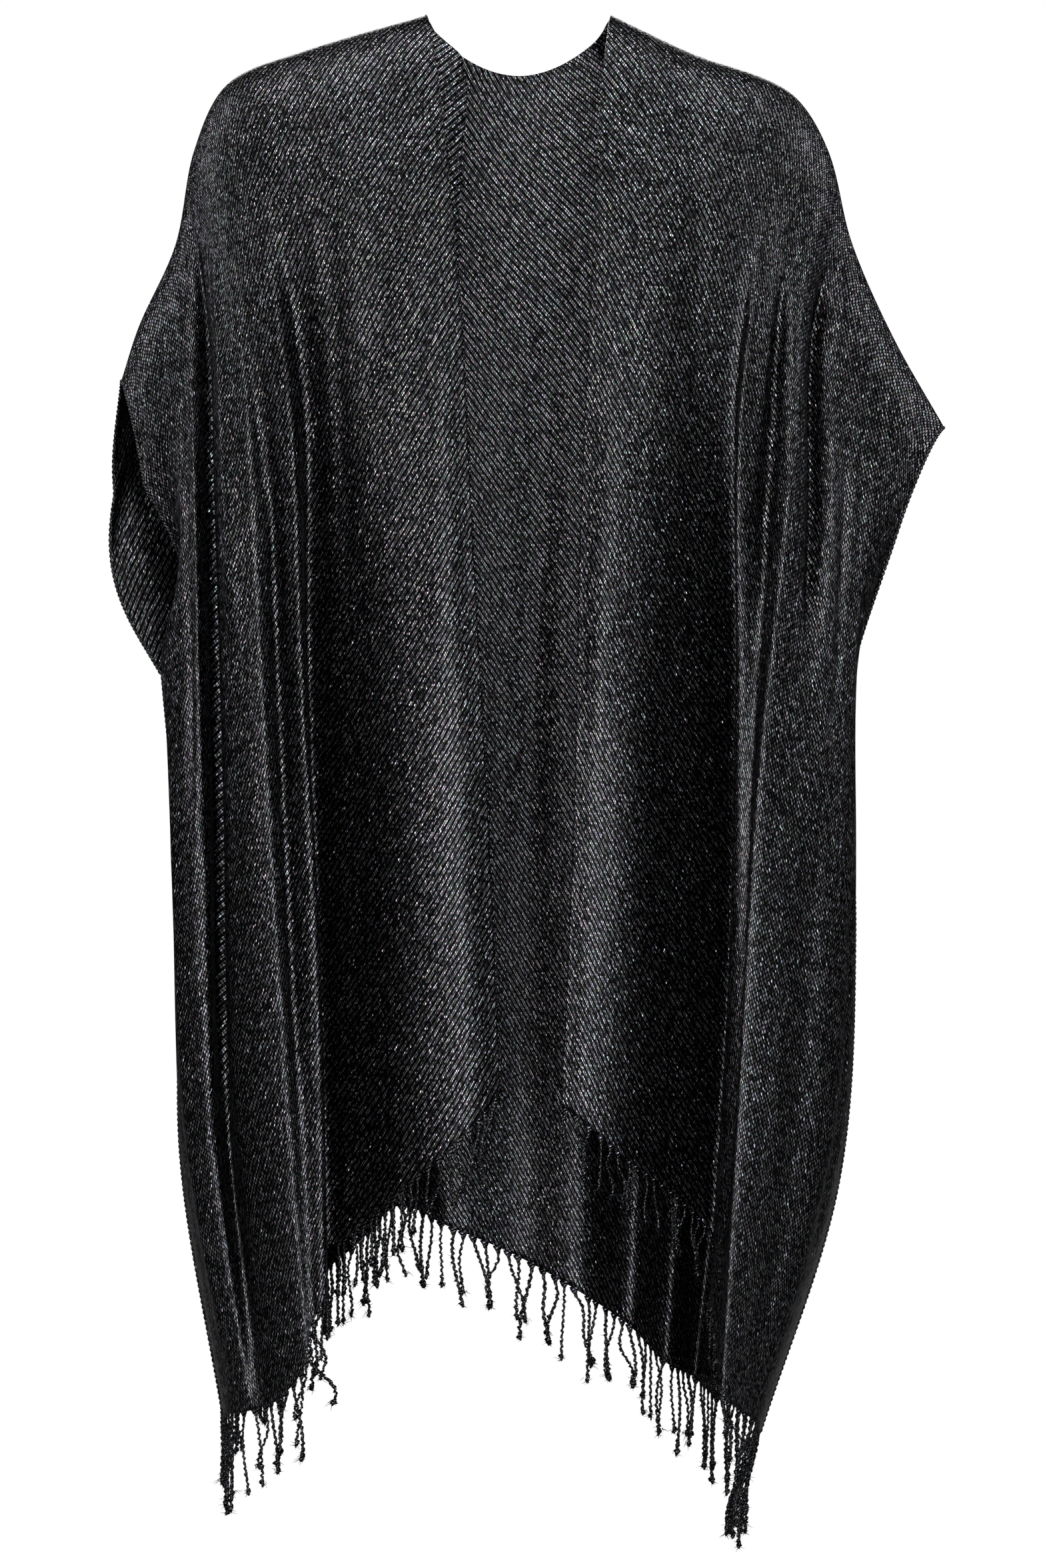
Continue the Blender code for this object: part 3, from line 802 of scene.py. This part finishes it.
@dataclass
class Fringe:
    """The knotted cords of one hem: flared roots, twisted and crinkled cords, and brushed ends.

    Attributes:
        name: name of the piece.
        node: the solid that it stands for.
        panel: the panel whose hem it hangs from.
        reaches: cord lengths across the panel.
        clumps: groups of cords that lean together.
        seed: seed of its small accidents.
    """

    name: str
    node: str
    panel: Panel
    reaches: tuple[Reach, ...]
    clumps: tuple[Clump, ...] = ()
    seed: int = 5
    pitch: float = 9.3 * MM
    radius: float = 0.95 * MM
    lobe: float = 0.34
    twist: float = 4.2 * MM
    crinkle: float = 0.55 * MM
    crinkle_run: float = 4.8 * MM
    ring_step: float = 1.2 * MM
    root_run: float = 9 * MM
    root_depth: float = 0.5 * MM
    loose_run: float = 12 * MM
    wander: float = 4.2 * MM
    knot: float = 1.0
    knot_place: float = 3.6 * MM
    knot_run: float = 2.4 * MM
    knurl_run: float = 2.0 * MM
    fibres: int = 20
    fibre_length: float = 3.4 * MM
    fibre_radius: float = 0.16 * MM
    tufts: int = 16

    def __post_init__(self) -> None:
        """Seed the chances, and start the skins of cords and fibres."""
        self.chance = random.Random(self.seed)
        self.cords, self.hairs = RingSkin(sides=8), RingSkin(sides=3)

    def build(self, material: bpy.types.Material) -> bpy.types.Object:
        """Make the whole fringe as one joined piece.

        Args:
            material: the cords' material.

        Returns:
            The fringe's object.
        """
        chance, cords = self.chance, self.cords
        hem = self.panel.points[-1]
        warp = unit_rows(hem - self.panel.points[-4])
        values = np.concatenate([self.panel.normals[-1], warp, self.panel.across[:, None]], axis=1)
        line, read, run = resampled(hem, values, 0.5 * MM)
        count = int(round(run[-1] / self.pitch))
        step = run[-1] / count
        index = 0
        while index < count:
            members = min(chance.choice((1, 1, 2, 2, 2, 3)), count - index)
            meeting = (index + members / 2) * step + chance.uniform(-0.3, 0.3) * step
            for member in range(members):
                place = (index + member + 0.5 + chance.uniform(-0.2, 0.2)) * step
                at = int(np.argmin(np.abs(run - place)))
                pull = (meeting - place) * (chance.uniform(0.6, 1.1) if members > 1 else 0.0)
                along = unit_rows(line[min(at + 4, len(line) - 1)] - line[max(at - 4, 0)])
                face, warp_there, across = read[at, :3], read[at, 3:6], read[at, 6]
                self.add_cord(Root(line[at], face, warp_there, along, across, run[at]), pull)
            index += members
        cords.corners += self.hairs.corners
        cords.maps += self.hairs.maps
        cords.faces += [tuple(corner + cords.count for corner in face) for face in self.hairs.faces]
        piece = cords.build(self.name, material)
        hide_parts(self.node)
        LOG.info("%s: %d cords, %d faces", self.name, count, len(piece.data.polygons))
        return piece

    def add_cord(self, root: Root, pull: float) -> None:
        """Add one cord with its root, tufts and brushed end.

        Args:
            root: where it leaves the hem.
            pull: how far its end is drawn along the hem, in metres.
        """
        chance = self.chance
        places, lengths, drifts = np.array(self.reaches).T
        length = np.interp(root.across, places, lengths) * MM
        drift = np.interp(root.across, places, drifts) * MM * chance.uniform(0.5, 1.2)
        length *= chance.uniform(0.78, 1.06)
        path = self.cord_path(root, pull, length)
        path[:, 0] += drift * ease(run_lengths(path, 0) / length) ** 0.8
        tangent = unit_rows(np.gradient(path, axis=0))
        wide = unit_rows(root.along - tangent * (tangent @ root.along)[:, None])
        deep = np.cross(tangent, wide)
        distance = run_lengths(path, 0)
        flare = 1 - ease(distance / self.root_run)
        spin = distance / self.twist * TURN + chance.uniform(0, 6)
        bulge = np.cos(2 * (ring_turns(self.cords.sides)[None] - spin[:, None] / 2))
        lobes = 1 + self.lobe * (1 - flare)[:, None] * bulge
        to_end = distance[-1] - distance
        swell = np.exp(-(((to_end - self.knot_place) / self.knot_run) ** 2))
        knurl = np.exp(-(((to_end - chance.uniform(9, 18) * MM) / self.knurl_run) ** 2))
        knots = swell + knurl * chance.uniform(0, 0.7)
        taper = 1 + self.knot * chance.uniform(0.5, 1.3) * knots - 0.45 * ease(1 - to_end / self.knot_run)
        half = self.radius * taper * chance.uniform(0.8, 1.2)
        root_half = 0.5 * self.pitch * (1.02 - 0.45 * abs(float(root.along[2])))
        spread = half + (root_half - half) * flare**2.2
        thin = half + (self.root_depth - half) * flare
        rings = tube(path, wide, deep, spread[:, None] * lobes, thin[:, None] * lobes, self.cords.sides)
        self.cords.add(rings, TURN * self.radius)
        self.add_fibres(path, tangent, wide, deep)

    def cord_path(self, root: Root, pull: float, length: float) -> Array:
        """Centre line of one cord: off the hem along its warp, then hanging and crinkled.

        Args:
            root: where it leaves the hem.
            pull: how far its end is drawn along the hem.
            length: the cord's length.

        Returns:
            Points down the cord, from just above the hem.
        """
        chance = self.chance
        s = np.linspace(-self.ring_step, length, max(12, int(length / self.ring_step)))
        level_along = root.along * (1.0, 1.0, 0.0)
        level_along /= max(np.linalg.norm(level_along), 1e-6)
        below = np.maximum(s, 0)
        hang = 1 - np.exp(-below / self.root_run)
        drop = root.warp[None] * (s - below * hang)[:, None]
        drop = drop + np.array([0.0, 0.0, -1.0])[None] * (below * hang)[:, None]
        share = np.clip(s / length, 0, 1)
        lean = sum(clump.pull * (clump.middle * MM - root.run) for clump in self.clumps
                   if abs(clump.middle * MM - root.run) < clump.span * MM)
        lean += pull + chance.uniform(-0.6, 0.6) * self.wander
        swing = chance.uniform(-1, 1) * self.wander * 0.8
        phase = chance.uniform(0, 6.28)
        loose = ease(below / self.loose_run)
        crook = self.crinkle * chance.uniform(0.75, 1.3)
        wave = (s / self.crinkle_run * TURN) * chance.uniform(0.85, 1.2) + phase
        slow = np.sin(share * math.pi * chance.uniform(1.2, 2.4) + phase) - math.sin(phase)
        aside = lean * ease(share * 1.15) + swing * slow * loose
        aside = aside + crook * (np.sin(wave) + 0.5 * np.sin(1.73 * wave + 2 * phase)) * loose
        deep = crook * np.cos(wave) * loose + 0.5 * swing * (1 - np.cos(share * 4)) * loose
        start = root.point - root.face * self.root_depth
        return start + drop + level_along[None] * aside[:, None] + root.face[None] * deep[:, None] * 0.8

    def add_fibres(self, path: Array, tangent: Array, wide: Array, deep: Array) -> None:
        """Add the brushed end and the small tufts along one cord.

        Args:
            path: the cord's points.
            tangent: its directions.
            wide: directions across it.
            deep: directions through it.
        """
        chance = self.chance
        for number in range(self.fibres + self.tufts):
            at = -1 if number < self.fibres else chance.randrange(len(path) // 6, len(path))
            turn = chance.uniform(0, TURN)
            out = wide[at] * math.cos(turn) + deep[at] * math.sin(turn)
            if number < self.fibres:
                start = path[at] + out * self.radius * 0.7 - tangent[at] * chance.uniform(1, 5) * MM
                reach = self.fibre_length * chance.uniform(0.4, 1.1)
                heading = tangent[at] * chance.uniform(-0.2, 1.2) + out * chance.uniform(0.1, 0.9)
            else:
                start = path[at] + out * self.radius * 0.5
                heading = out + tangent[at] * chance.uniform(0.1, 1.2)
                reach = chance.uniform(1.0, 2.4) * MM
            self.add_hair(start, heading, out, reach)

    def add_hair(self, start: Array, heading: Array, out: Array, reach: float) -> None:
        """Add one curved, tapering fibre.

        Args:
            start: its root.
            heading: its first direction.
            out: direction that it curls towards.
            reach: its length.
        """
        heading = unit_rows(heading)
        curl = self.chance.uniform(-0.9, 0.9)
        shares = np.array([0.0, 0.4, 0.75, 1.0])
        centre = start + heading * (shares * reach)[:, None] + out * (curl * reach * shares**2)[:, None]
        first = unit_rows(np.cross(heading, np.array([0.3, 0.9, 0.2])))
        size = (self.fibre_radius * np.array([1.3, 1.1, 0.8, 0.25]))[:, None]
        rings = tube(centre, first, np.cross(heading, first), size, size, self.hairs.sides)
        self.hairs.add(rings, TURN * self.fibre_radius)


class NodeWriter:
    """Adds nodes to one tree and joins them."""

    def __init__(self, tree: bpy.types.NodeTree) -> None:
        """Keep the tree."""
        self.tree = tree

    def node(self, kind: str, **settings: object) -> bpy.types.Node:
        """Add a node and set its properties."""
        node = self.tree.nodes.new(kind)
        for name, value in settings.items():
            setattr(node, name, value)
        return node

    def feed(self, socket: Socket, value: object) -> None:
        """Link a socket to an output, or set its value."""
        if isinstance(value, Socket):
            self.tree.links.new(value, socket)
        else:
            socket.default_value = value

    def math(self, operation: str, *values: object) -> Socket:
        """Add a Math node and return its output."""
        node = self.node("ShaderNodeMath", operation=operation)
        for socket, value in zip(node.inputs, values):
            self.feed(socket, value)
        return node.outputs[0]

    def vector(self, operation: str, *values: object) -> Socket:
        """Add a Vector Math node and return its vector, or its value where it gives one."""
        node = self.node("ShaderNodeVectorMath", operation=operation)
        sockets = [socket for socket in node.inputs if socket.enabled]
        for socket, value in zip(sockets, values):
            self.feed(socket, value)
        return node.outputs["Value"] if operation == "DOT_PRODUCT" else node.outputs["Vector"]

    def spread(self, value: object, low: float, high: float, to_low: float, to_high: float,
               smooth: bool = False) -> Socket:
        """Add a Map Range node and return its result."""
        node = self.node("ShaderNodeMapRange", interpolation_type="SMOOTHSTEP" if smooth else "LINEAR")
        for socket, given in zip(node.inputs, (value, low, high, to_low, to_high)):
            self.feed(socket, given)
        return node.outputs["Result"]

    def chance(self, where: Socket) -> bpy.types.Node:
        """Add a White Noise node read at a cell and return it."""
        node = self.node("ShaderNodeTexWhiteNoise", noise_dimensions="3D")
        self.feed(node.inputs["Vector"], where)
        return node

    def scaled(self, value: object, factor: object) -> Socket:
        """Add a Vector Math node that scales a vector and return its result."""
        node = self.node("ShaderNodeVectorMath", operation="SCALE")
        self.fill(node, {"Vector": value, "Scale": factor})
        return node.outputs["Vector"]

    def mix(self, factor: object, first: object, second: object) -> Socket:
        """Add a colour Mix node and return its result."""
        node = self.node("ShaderNodeMix", data_type="RGBA")
        self.fill(node, {"Factor": factor, 6: first, 7: second})
        return node.outputs[2]

    def fill(self, node: bpy.types.Node, values: dict[str | int, object]) -> None:
        """Feed a node's inputs, by name or number."""
        for label, value in values.items():
            self.feed(node.inputs[label], value)

    def split(self, lighting: Socket, seen: Socket, end: bpy.types.Node) -> None:
        """Show the camera one shader, and let another one light the scene."""
        choice = self.node("ShaderNodeMixShader")
        ray = self.node("ShaderNodeLightPath").outputs["Is Camera Ray"]
        self.fill(choice, {0: ray, 1: lighting, 2: seen})
        self.feed(end.inputs["Surface"], choice.outputs[0])


@dataclass(frozen=True)
class LurexWeave:
    """The weave of cloth and cords: ribs of three rows, one of them dark, with a glint in each cell.

    Attributes:
        rib_angle: the ribs' angle to the weft, in degrees.
        ground: colour of the black yarn.
        bright: colour of the metal yarn.
        stagger: how far each row's cells are shifted, as a share of a cell.
        slope: how far a cell leans over its row, likewise.
        stray: how much further than the others the few stray cells lean.
        shift: how far the pull of the cloth moves a rib.
    """

    rib_angle: float = 47.0
    ground: Colour = (0.0008, 0.0008, 0.001, 1.0)
    bright: Colour = (0.93, 0.94, 1.0, 1.0)
    rows: float = 3.0
    gap_row: float = 0.03
    stagger: float = 0.5
    slope: float = 0.55
    roughness: Pair = (0.38, 0.48)
    luck_power: float = 2.2
    least_shine: float = 0.07
    stray_power: float = 14.0
    stray: float = 3.6
    shift: float = 1.6 * MM

    def group(self) -> bpy.types.NodeTree:
        """Build the node group.

        Returns:
            A group that turns flat coordinates into colour, roughness, height and normal.
        """
        group = bpy.data.node_groups.new("lurex_weave", "ShaderNodeTree")
        wanted = [("Flat", "Vector")] + [(label, "Float") for label in WEAVE_INPUTS]
        made = [("Color", "Color"), ("Roughness", "Float"), ("Height", "Float"), ("Normal", "Vector")]
        for way, sockets in (("INPUT", wanted), ("OUTPUT", made)):
            for label, kind in sockets:
                group.interface.new_socket(name=label, in_out=way, socket_type="NodeSocket" + kind)
        put = NodeWriter(group)
        given = put.node("NodeGroupInput").outputs
        warped = self.warped(put, given["Flat"])
        angle = math.radians(self.rib_angle)
        over = put.vector("DOT_PRODUCT", warped, (math.sin(angle), -math.cos(angle), 0.0))
        along = put.vector("DOT_PRODUCT", warped, (math.cos(angle), math.sin(angle), 0.0))
        ribs = put.math("DIVIDE", over, given["Rib Pitch"])
        rows = put.math("MULTIPLY", ribs, self.rows)
        row = put.math("FLOOR", rows)
        in_row = put.math("FRACT", rows)
        in_rib = put.math("FLOORED_MODULO", row, self.rows)
        cells = put.math("DIVIDE", along, given["Cell Length"])
        cells = put.math("ADD", cells, put.math("MULTIPLY", in_rib, self.stagger))
        cells = put.math("ADD", cells, put.math("MULTIPLY", in_row, self.slope))
        where = put.node("ShaderNodeCombineXYZ")
        put.fill(where, {0: row, 1: put.math("FLOOR", cells), 2: given["Seed"]})
        where = where.outputs[0]
        hue = put.chance(where).outputs["Color"]
        luck = put.chance(put.vector("ADD", where, (31.0, 17.0, 5.0))).outputs["Value"]
        dot = self.dot(put, in_row, put.math("FRACT", cells))
        rib = put.math("SINE", put.math("MULTIPLY", put.math("FRACT", ribs), math.pi))
        rib = put.math("POWER", rib, 0.6)
        shine = put.spread(put.math("POWER", luck, self.luck_power), 0.0, 1.0, self.least_shine, 1.0)
        shine = put.math("MULTIPLY", shine, given["Glint"])
        gap = put.math("GREATER_THAN", in_rib, self.rows / 2)
        metal = put.math("MULTIPLY", dot, put.spread(gap, 0.0, 1.0, 1.0, self.gap_row))
        tint = put.mix(put.math("MULTIPLY", given["Tint"], 0.5), self.bright, hue)
        put.fill(put.node("NodeGroupOutput"), {
            "Color": put.mix(metal, self.ground, put.scaled(tint, shine)),
            "Roughness": put.spread(luck, 0.0, 1.0, *self.roughness),
            "Height": put.math("ADD", put.math("MULTIPLY", rib, 0.6), put.math("MULTIPLY", dot, 0.4)),
            "Normal": self.tilted(put, hue, luck, given["Tilt"]),
        })
        return group

    def warped(self, put: NodeWriter, flat: Socket) -> Socket:
        """Shift the flat coordinates a little, as hand-pulled cloth does."""
        noise = put.node("ShaderNodeTexNoise", noise_dimensions="2D")
        put.fill(noise, {"Vector": flat, "Scale": 55.0, "Detail": 2.0})
        shift = put.vector("SUBTRACT", noise.outputs["Color"], (0.5, 0.5, 0.5))
        return put.vector("ADD", flat, put.scaled(shift, self.shift))

    def dot(self, put: NodeWriter, in_row: Socket, in_cell: Socket) -> Socket:
        """Shape of the metal yarn's float in its cell, 1 at its middle."""
        side, lengthwise = (
            put.math("POWER", put.math("ABSOLUTE", put.math("SUBTRACT", place, 0.5)), 2.0)
            for place in (in_row, in_cell)
        )
        far = put.math("ADD", put.math("MULTIPLY", side, 5.2), put.math("MULTIPLY", lengthwise, 4.2))
        return put.spread(far, 1.0, 0.25, 0.0, 1.0, smooth=True)

    def tilted(self, put: NodeWriter, hue: Socket, luck: Socket,
               tilt: Socket) -> Socket:
        """Tilt each cell's normal by chance: most a little, a few far enough to glint in a dark fold."""
        normal = put.node("ShaderNodeNewGeometry").outputs["Normal"]
        stray = put.spread(put.math("POWER", luck, self.stray_power), 0.0, 1.0, 1.0, self.stray)
        lean = put.scaled(put.vector("SUBTRACT", hue, (0.5, 0.5, 0.5)), put.math("MULTIPLY", tilt, stray))
        return put.vector("NORMALIZE", put.vector("ADD", normal, lean))


@dataclass(frozen=True)
class TwillFinish:
    """A finish of metallic twill or of yarn spun from the same threads.

    Attributes:
        name: the material's name.
        rib_pitch: distance between ribs.
        cell_length: length of one glint's cell.
        glint: brightness of the metal yarn.
        tilt: how far the glints' facets lean by chance.
        tint: strength of their colour.
        seed: seed of their chances.
        relief: height of the weave.
        edge_tint: how bright the metal stays where it is seen from the side.
    """

    name: str
    rib_pitch: float = 3.9 * MM
    cell_length: float = 1.5 * MM
    glint: float = 0.36
    tilt: float = 0.36
    tint: float = 0.5
    seed: float = 0.0
    relief: float = 0.07 * MM
    edge_tint: float = 0.45

    def material(self, weave: bpy.types.NodeTree) -> bpy.types.Material:
        """Build the material.

        Args:
            weave: the shared weave group.

        Returns:
            The material, which reads the piece's own flat map.
        """
        material = bpy.data.materials.new(self.name)
        material.use_nodes = True
        put = NodeWriter(material.node_tree)
        cloth = put.node("ShaderNodeGroup", node_tree=weave)
        numbers = (self.rib_pitch, self.cell_length, self.glint, self.tilt, self.tint, self.seed)
        put.fill(cloth, dict(zip(WEAVE_INPUTS, numbers)))
        put.feed(cloth.inputs["Flat"], put.node("ShaderNodeUVMap", uv_map="UVMap").outputs["UV"])
        woven = cloth.outputs
        bump = put.node("ShaderNodeBump")
        put.fill(bump, {"Strength": 0.5, "Distance": self.relief, "Height": woven["Height"],
                        "Normal": woven["Normal"]})
        shader = material.node_tree.nodes["Principled BSDF"]
        shader.distribution = "GGX"
        put.fill(shader, {
            "Base Color": woven["Color"], "Metallic": 1.0, "Roughness": woven["Roughness"],
            "Normal": bump.outputs["Normal"], "Specular IOR Level": 0.1,
            "Specular Tint": (self.edge_tint, self.edge_tint, self.edge_tint, 1.0),
        })
        return material


@dataclass
class Studio:
    """Camera, lights, floor and background."""

    camera_place: Place = (2.5 * MM, -3.0, -526 * MM)
    lens: float = 100.7
    floor_height: float = -1.12
    floor_size: float = 60.0
    background: float = 1.0
    ambience: float = 0.008

    def build(self) -> None:
        """Set up the whole studio."""
        self.add_camera()
        self.add_floor()
        self.light_world()
        self.add_light("key", (0.0, -3.4, 0.0), (0.0, 0.0, -0.45), 3.0, 2.2, 160.0)
        self.add_light("top", (0.0, -0.5, 2.2), (0.0, 0.0, -0.2), 2.4, 1.4, 125.0)
        self.add_light("low", (0.0, -2.2, -1.0), (0.0, 0.0, -0.2), 1.6, 0.5, 40.0)
        self.add_light("back", (0.0, 3.2, 0.5), (0.0, 0.0, -0.45), 1.8, 1.8, 150.0)
        self.add_light("left", (-2.5, 0.5, 1.0), (0.0, 0.0, -0.4), 1.4, 1.8, 60.0)
        self.add_light("right", (2.5, 0.5, 1.0), (0.0, 0.0, -0.4), 1.4, 1.8, 60.0)
        bpy.context.scene.view_settings.view_transform = "Standard"

    def add_camera(self) -> None:
        """Add the camera at the photograph's viewing angle."""
        lens = bpy.data.cameras.new("camera")
        lens.lens = self.lens
        lens.sensor_width = 36.0
        lens.clip_start = 0.05
        lens.clip_end = 200.0
        camera = bpy.data.objects.new("camera", lens)
        camera.location = self.camera_place
        camera.rotation_euler = (math.pi / 2, 0.0, 0.0)
        bpy.context.scene.collection.objects.link(camera)
        bpy.context.scene.camera = camera

    def add_floor(self) -> None:
        """Add the pale floor under the jacket."""
        deselect()
        bpy.ops.mesh.primitive_plane_add(size=self.floor_size, location=(0.0, 0.0, self.floor_height))
        floor = bpy.context.object
        floor.name = "floor"
        material = bpy.data.materials.new("floor_paper")
        material.use_nodes = True
        nodes = material.node_tree.nodes
        put = NodeWriter(material.node_tree)
        paper = nodes["Principled BSDF"]
        put.fill(paper, {"Base Color": (0.12, 0.12, 0.12, 1.0), "Roughness": 0.9})
        seen = put.node("ShaderNodeEmission")
        put.feed(seen.inputs["Strength"], self.background)
        put.split(paper.outputs[0], seen.outputs[0], nodes["Material Output"])
        floor.data.materials.append(material)

    def light_world(self) -> None:
        """Make the background white to the eye and dim as a light."""
        world = bpy.data.worlds.new("studio")
        world.use_nodes = True
        bpy.context.scene.world = world
        nodes = world.node_tree.nodes
        put = NodeWriter(world.node_tree)
        dim, seen = nodes["Background"], put.node("ShaderNodeBackground")
        put.fill(dim, {"Color": (0.92, 0.95, 1.0, 1.0), "Strength": self.ambience})
        put.fill(seen, {"Color": (1.0, 1.0, 1.0, 1.0), "Strength": self.background})
        put.split(dim.outputs[0], seen.outputs[0], nodes["World Output"])

    def add_light(self, name: str, place: Place, target: Place,
                  width: float, height: float, power: float) -> None:
        """Add one softbox that faces a target."""
        light = bpy.data.lights.new(name, "AREA")
        light.shape = "RECTANGLE"
        light.size = width
        light.size_y = height
        light.energy = power
        box = bpy.data.objects.new(name, light)
        box.location = place
        box.rotation_euler = (Vector(target) - Vector(place)).to_track_quat("-Z", "Y").to_euler()
        bpy.context.scene.collection.objects.link(box)


@dataclass
class Jacket:
    """The whole jacket: three panels, their rolled edges and their fringes."""

    front_left: Panel = field(init=False)
    front_right: Panel = field(init=False)
    back: Panel = field(init=False)

    def __post_init__(self) -> None:
        """Lay out the panels."""
        self.front_left = Panel(
            "cloth_front_left", "front_left", FRONT_LEFT, front_top(SHOULDER_LEFT), -1, Lean.RISING,
            230, 196, (0.36, 0.76), Sag(1, 24, -6, -10), LEFT_CREASES, turned=LEFT_TURNED,
        )
        self.front_right = Panel(
            "cloth_front_right", "front_right", FRONT_RIGHT, front_top(SHOULDER_RIGHT), -1, Lean.FALLING,
            232, 198, (0.36, 0.76), creases=RIGHT_CREASES,
        )
        self.back = Panel(
            "cloth_back", "back", BACK, back_top, 1, Lean.FALLING, 290, 164, (0.88, 0.83),
            Sag(-1, -15, 17, -4), BACK_CREASES, slack_shear=1.7,
        )

    def build(self) -> None:
        """Build every piece, and log each panel's area."""
        weave = LurexWeave().group()
        cloth = TwillFinish("lurex_twill").material(weave)
        yarn = TwillFinish("fringe_yarn", rib_pitch=1.7 * MM, cell_length=1.1 * MM, glint=0.3,
                           seed=3.0, relief=0.25 * MM).material(weave)
        panels = (self.front_left, self.front_right, self.back)
        pieces = [panel.build(cloth) for panel in panels]
        edges = self.build_edges(yarn)
        fringes = [fringe.build(yarn) for fringe in self.fringes()]
        for panel, piece, fringe in zip(panels, pieces, fringes):
            area = sum(face.area for face in piece.data.polygons) / 2
            LOG.info("%s: %.3f square metres a side", piece.name, area)

    def build_edges(self, material: bpy.types.Material) -> bpy.types.Object:
        """Build the rolled edges of the armholes and the side seams, as one piece."""
        skin = RingSkin(sides=8)
        roll = RolledEdge()
        for panel, side in ((self.front_left, 1), (self.front_right, 1), (self.back, -1), (self.back, 1)):
            roll.add_to(skin, *panel.edge(side, 0.0, UNDERARM), 0.8)
        for panel in (self.front_left, self.front_right):
            roll.add_to(skin, *panel.edge(1, UNDERARM, 1.0), 0.5)
        return skin.build("rolled_edges", material)

    def fringes(self) -> tuple[Fringe, ...]:
        """Lay out the three fringes."""
        return (
            Fringe("fringe_cords_front_left", "fringe_front_left", self.front_left,
                   (Reach(0, 38), Reach(0.45, 46), Reach(0.7, 60), Reach(1, 68)),
                   (Clump(24, 22, 0.5), Clump(250, 30, 0.35), Clump(330, 24, 0.4)), 7),
            Fringe("fringe_cords_front_right", "fringe_front_right", self.front_right,
                   (Reach(0, 36), Reach(0.4, 44), Reach(0.62, 58), Reach(1, 80, -22)),
                   (Clump(120, 24, 0.4), Clump(300, 45, 0.6)), 8),
            Fringe("fringe_cords_back", "fringe_back", self.back,
                   (Reach(-1, 60), Reach(-0.6, 54), Reach(0, 52), Reach(0.6, 58),
                    Reach(0.8, 68, -6), Reach(1, 82, -24)), (), 9),
        )


def main() -> None:
    """Load the frame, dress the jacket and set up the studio."""
    logging.basicConfig(level=logging.INFO, format="%(message)s")
    for item in list(bpy.data.objects):
        bpy.data.objects.remove(item, do_unlink=True)
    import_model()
    Studio().build()
    Jacket().build()
    LOG.info("the jacket is dressed")


if __name__ == "__main__":
    main()
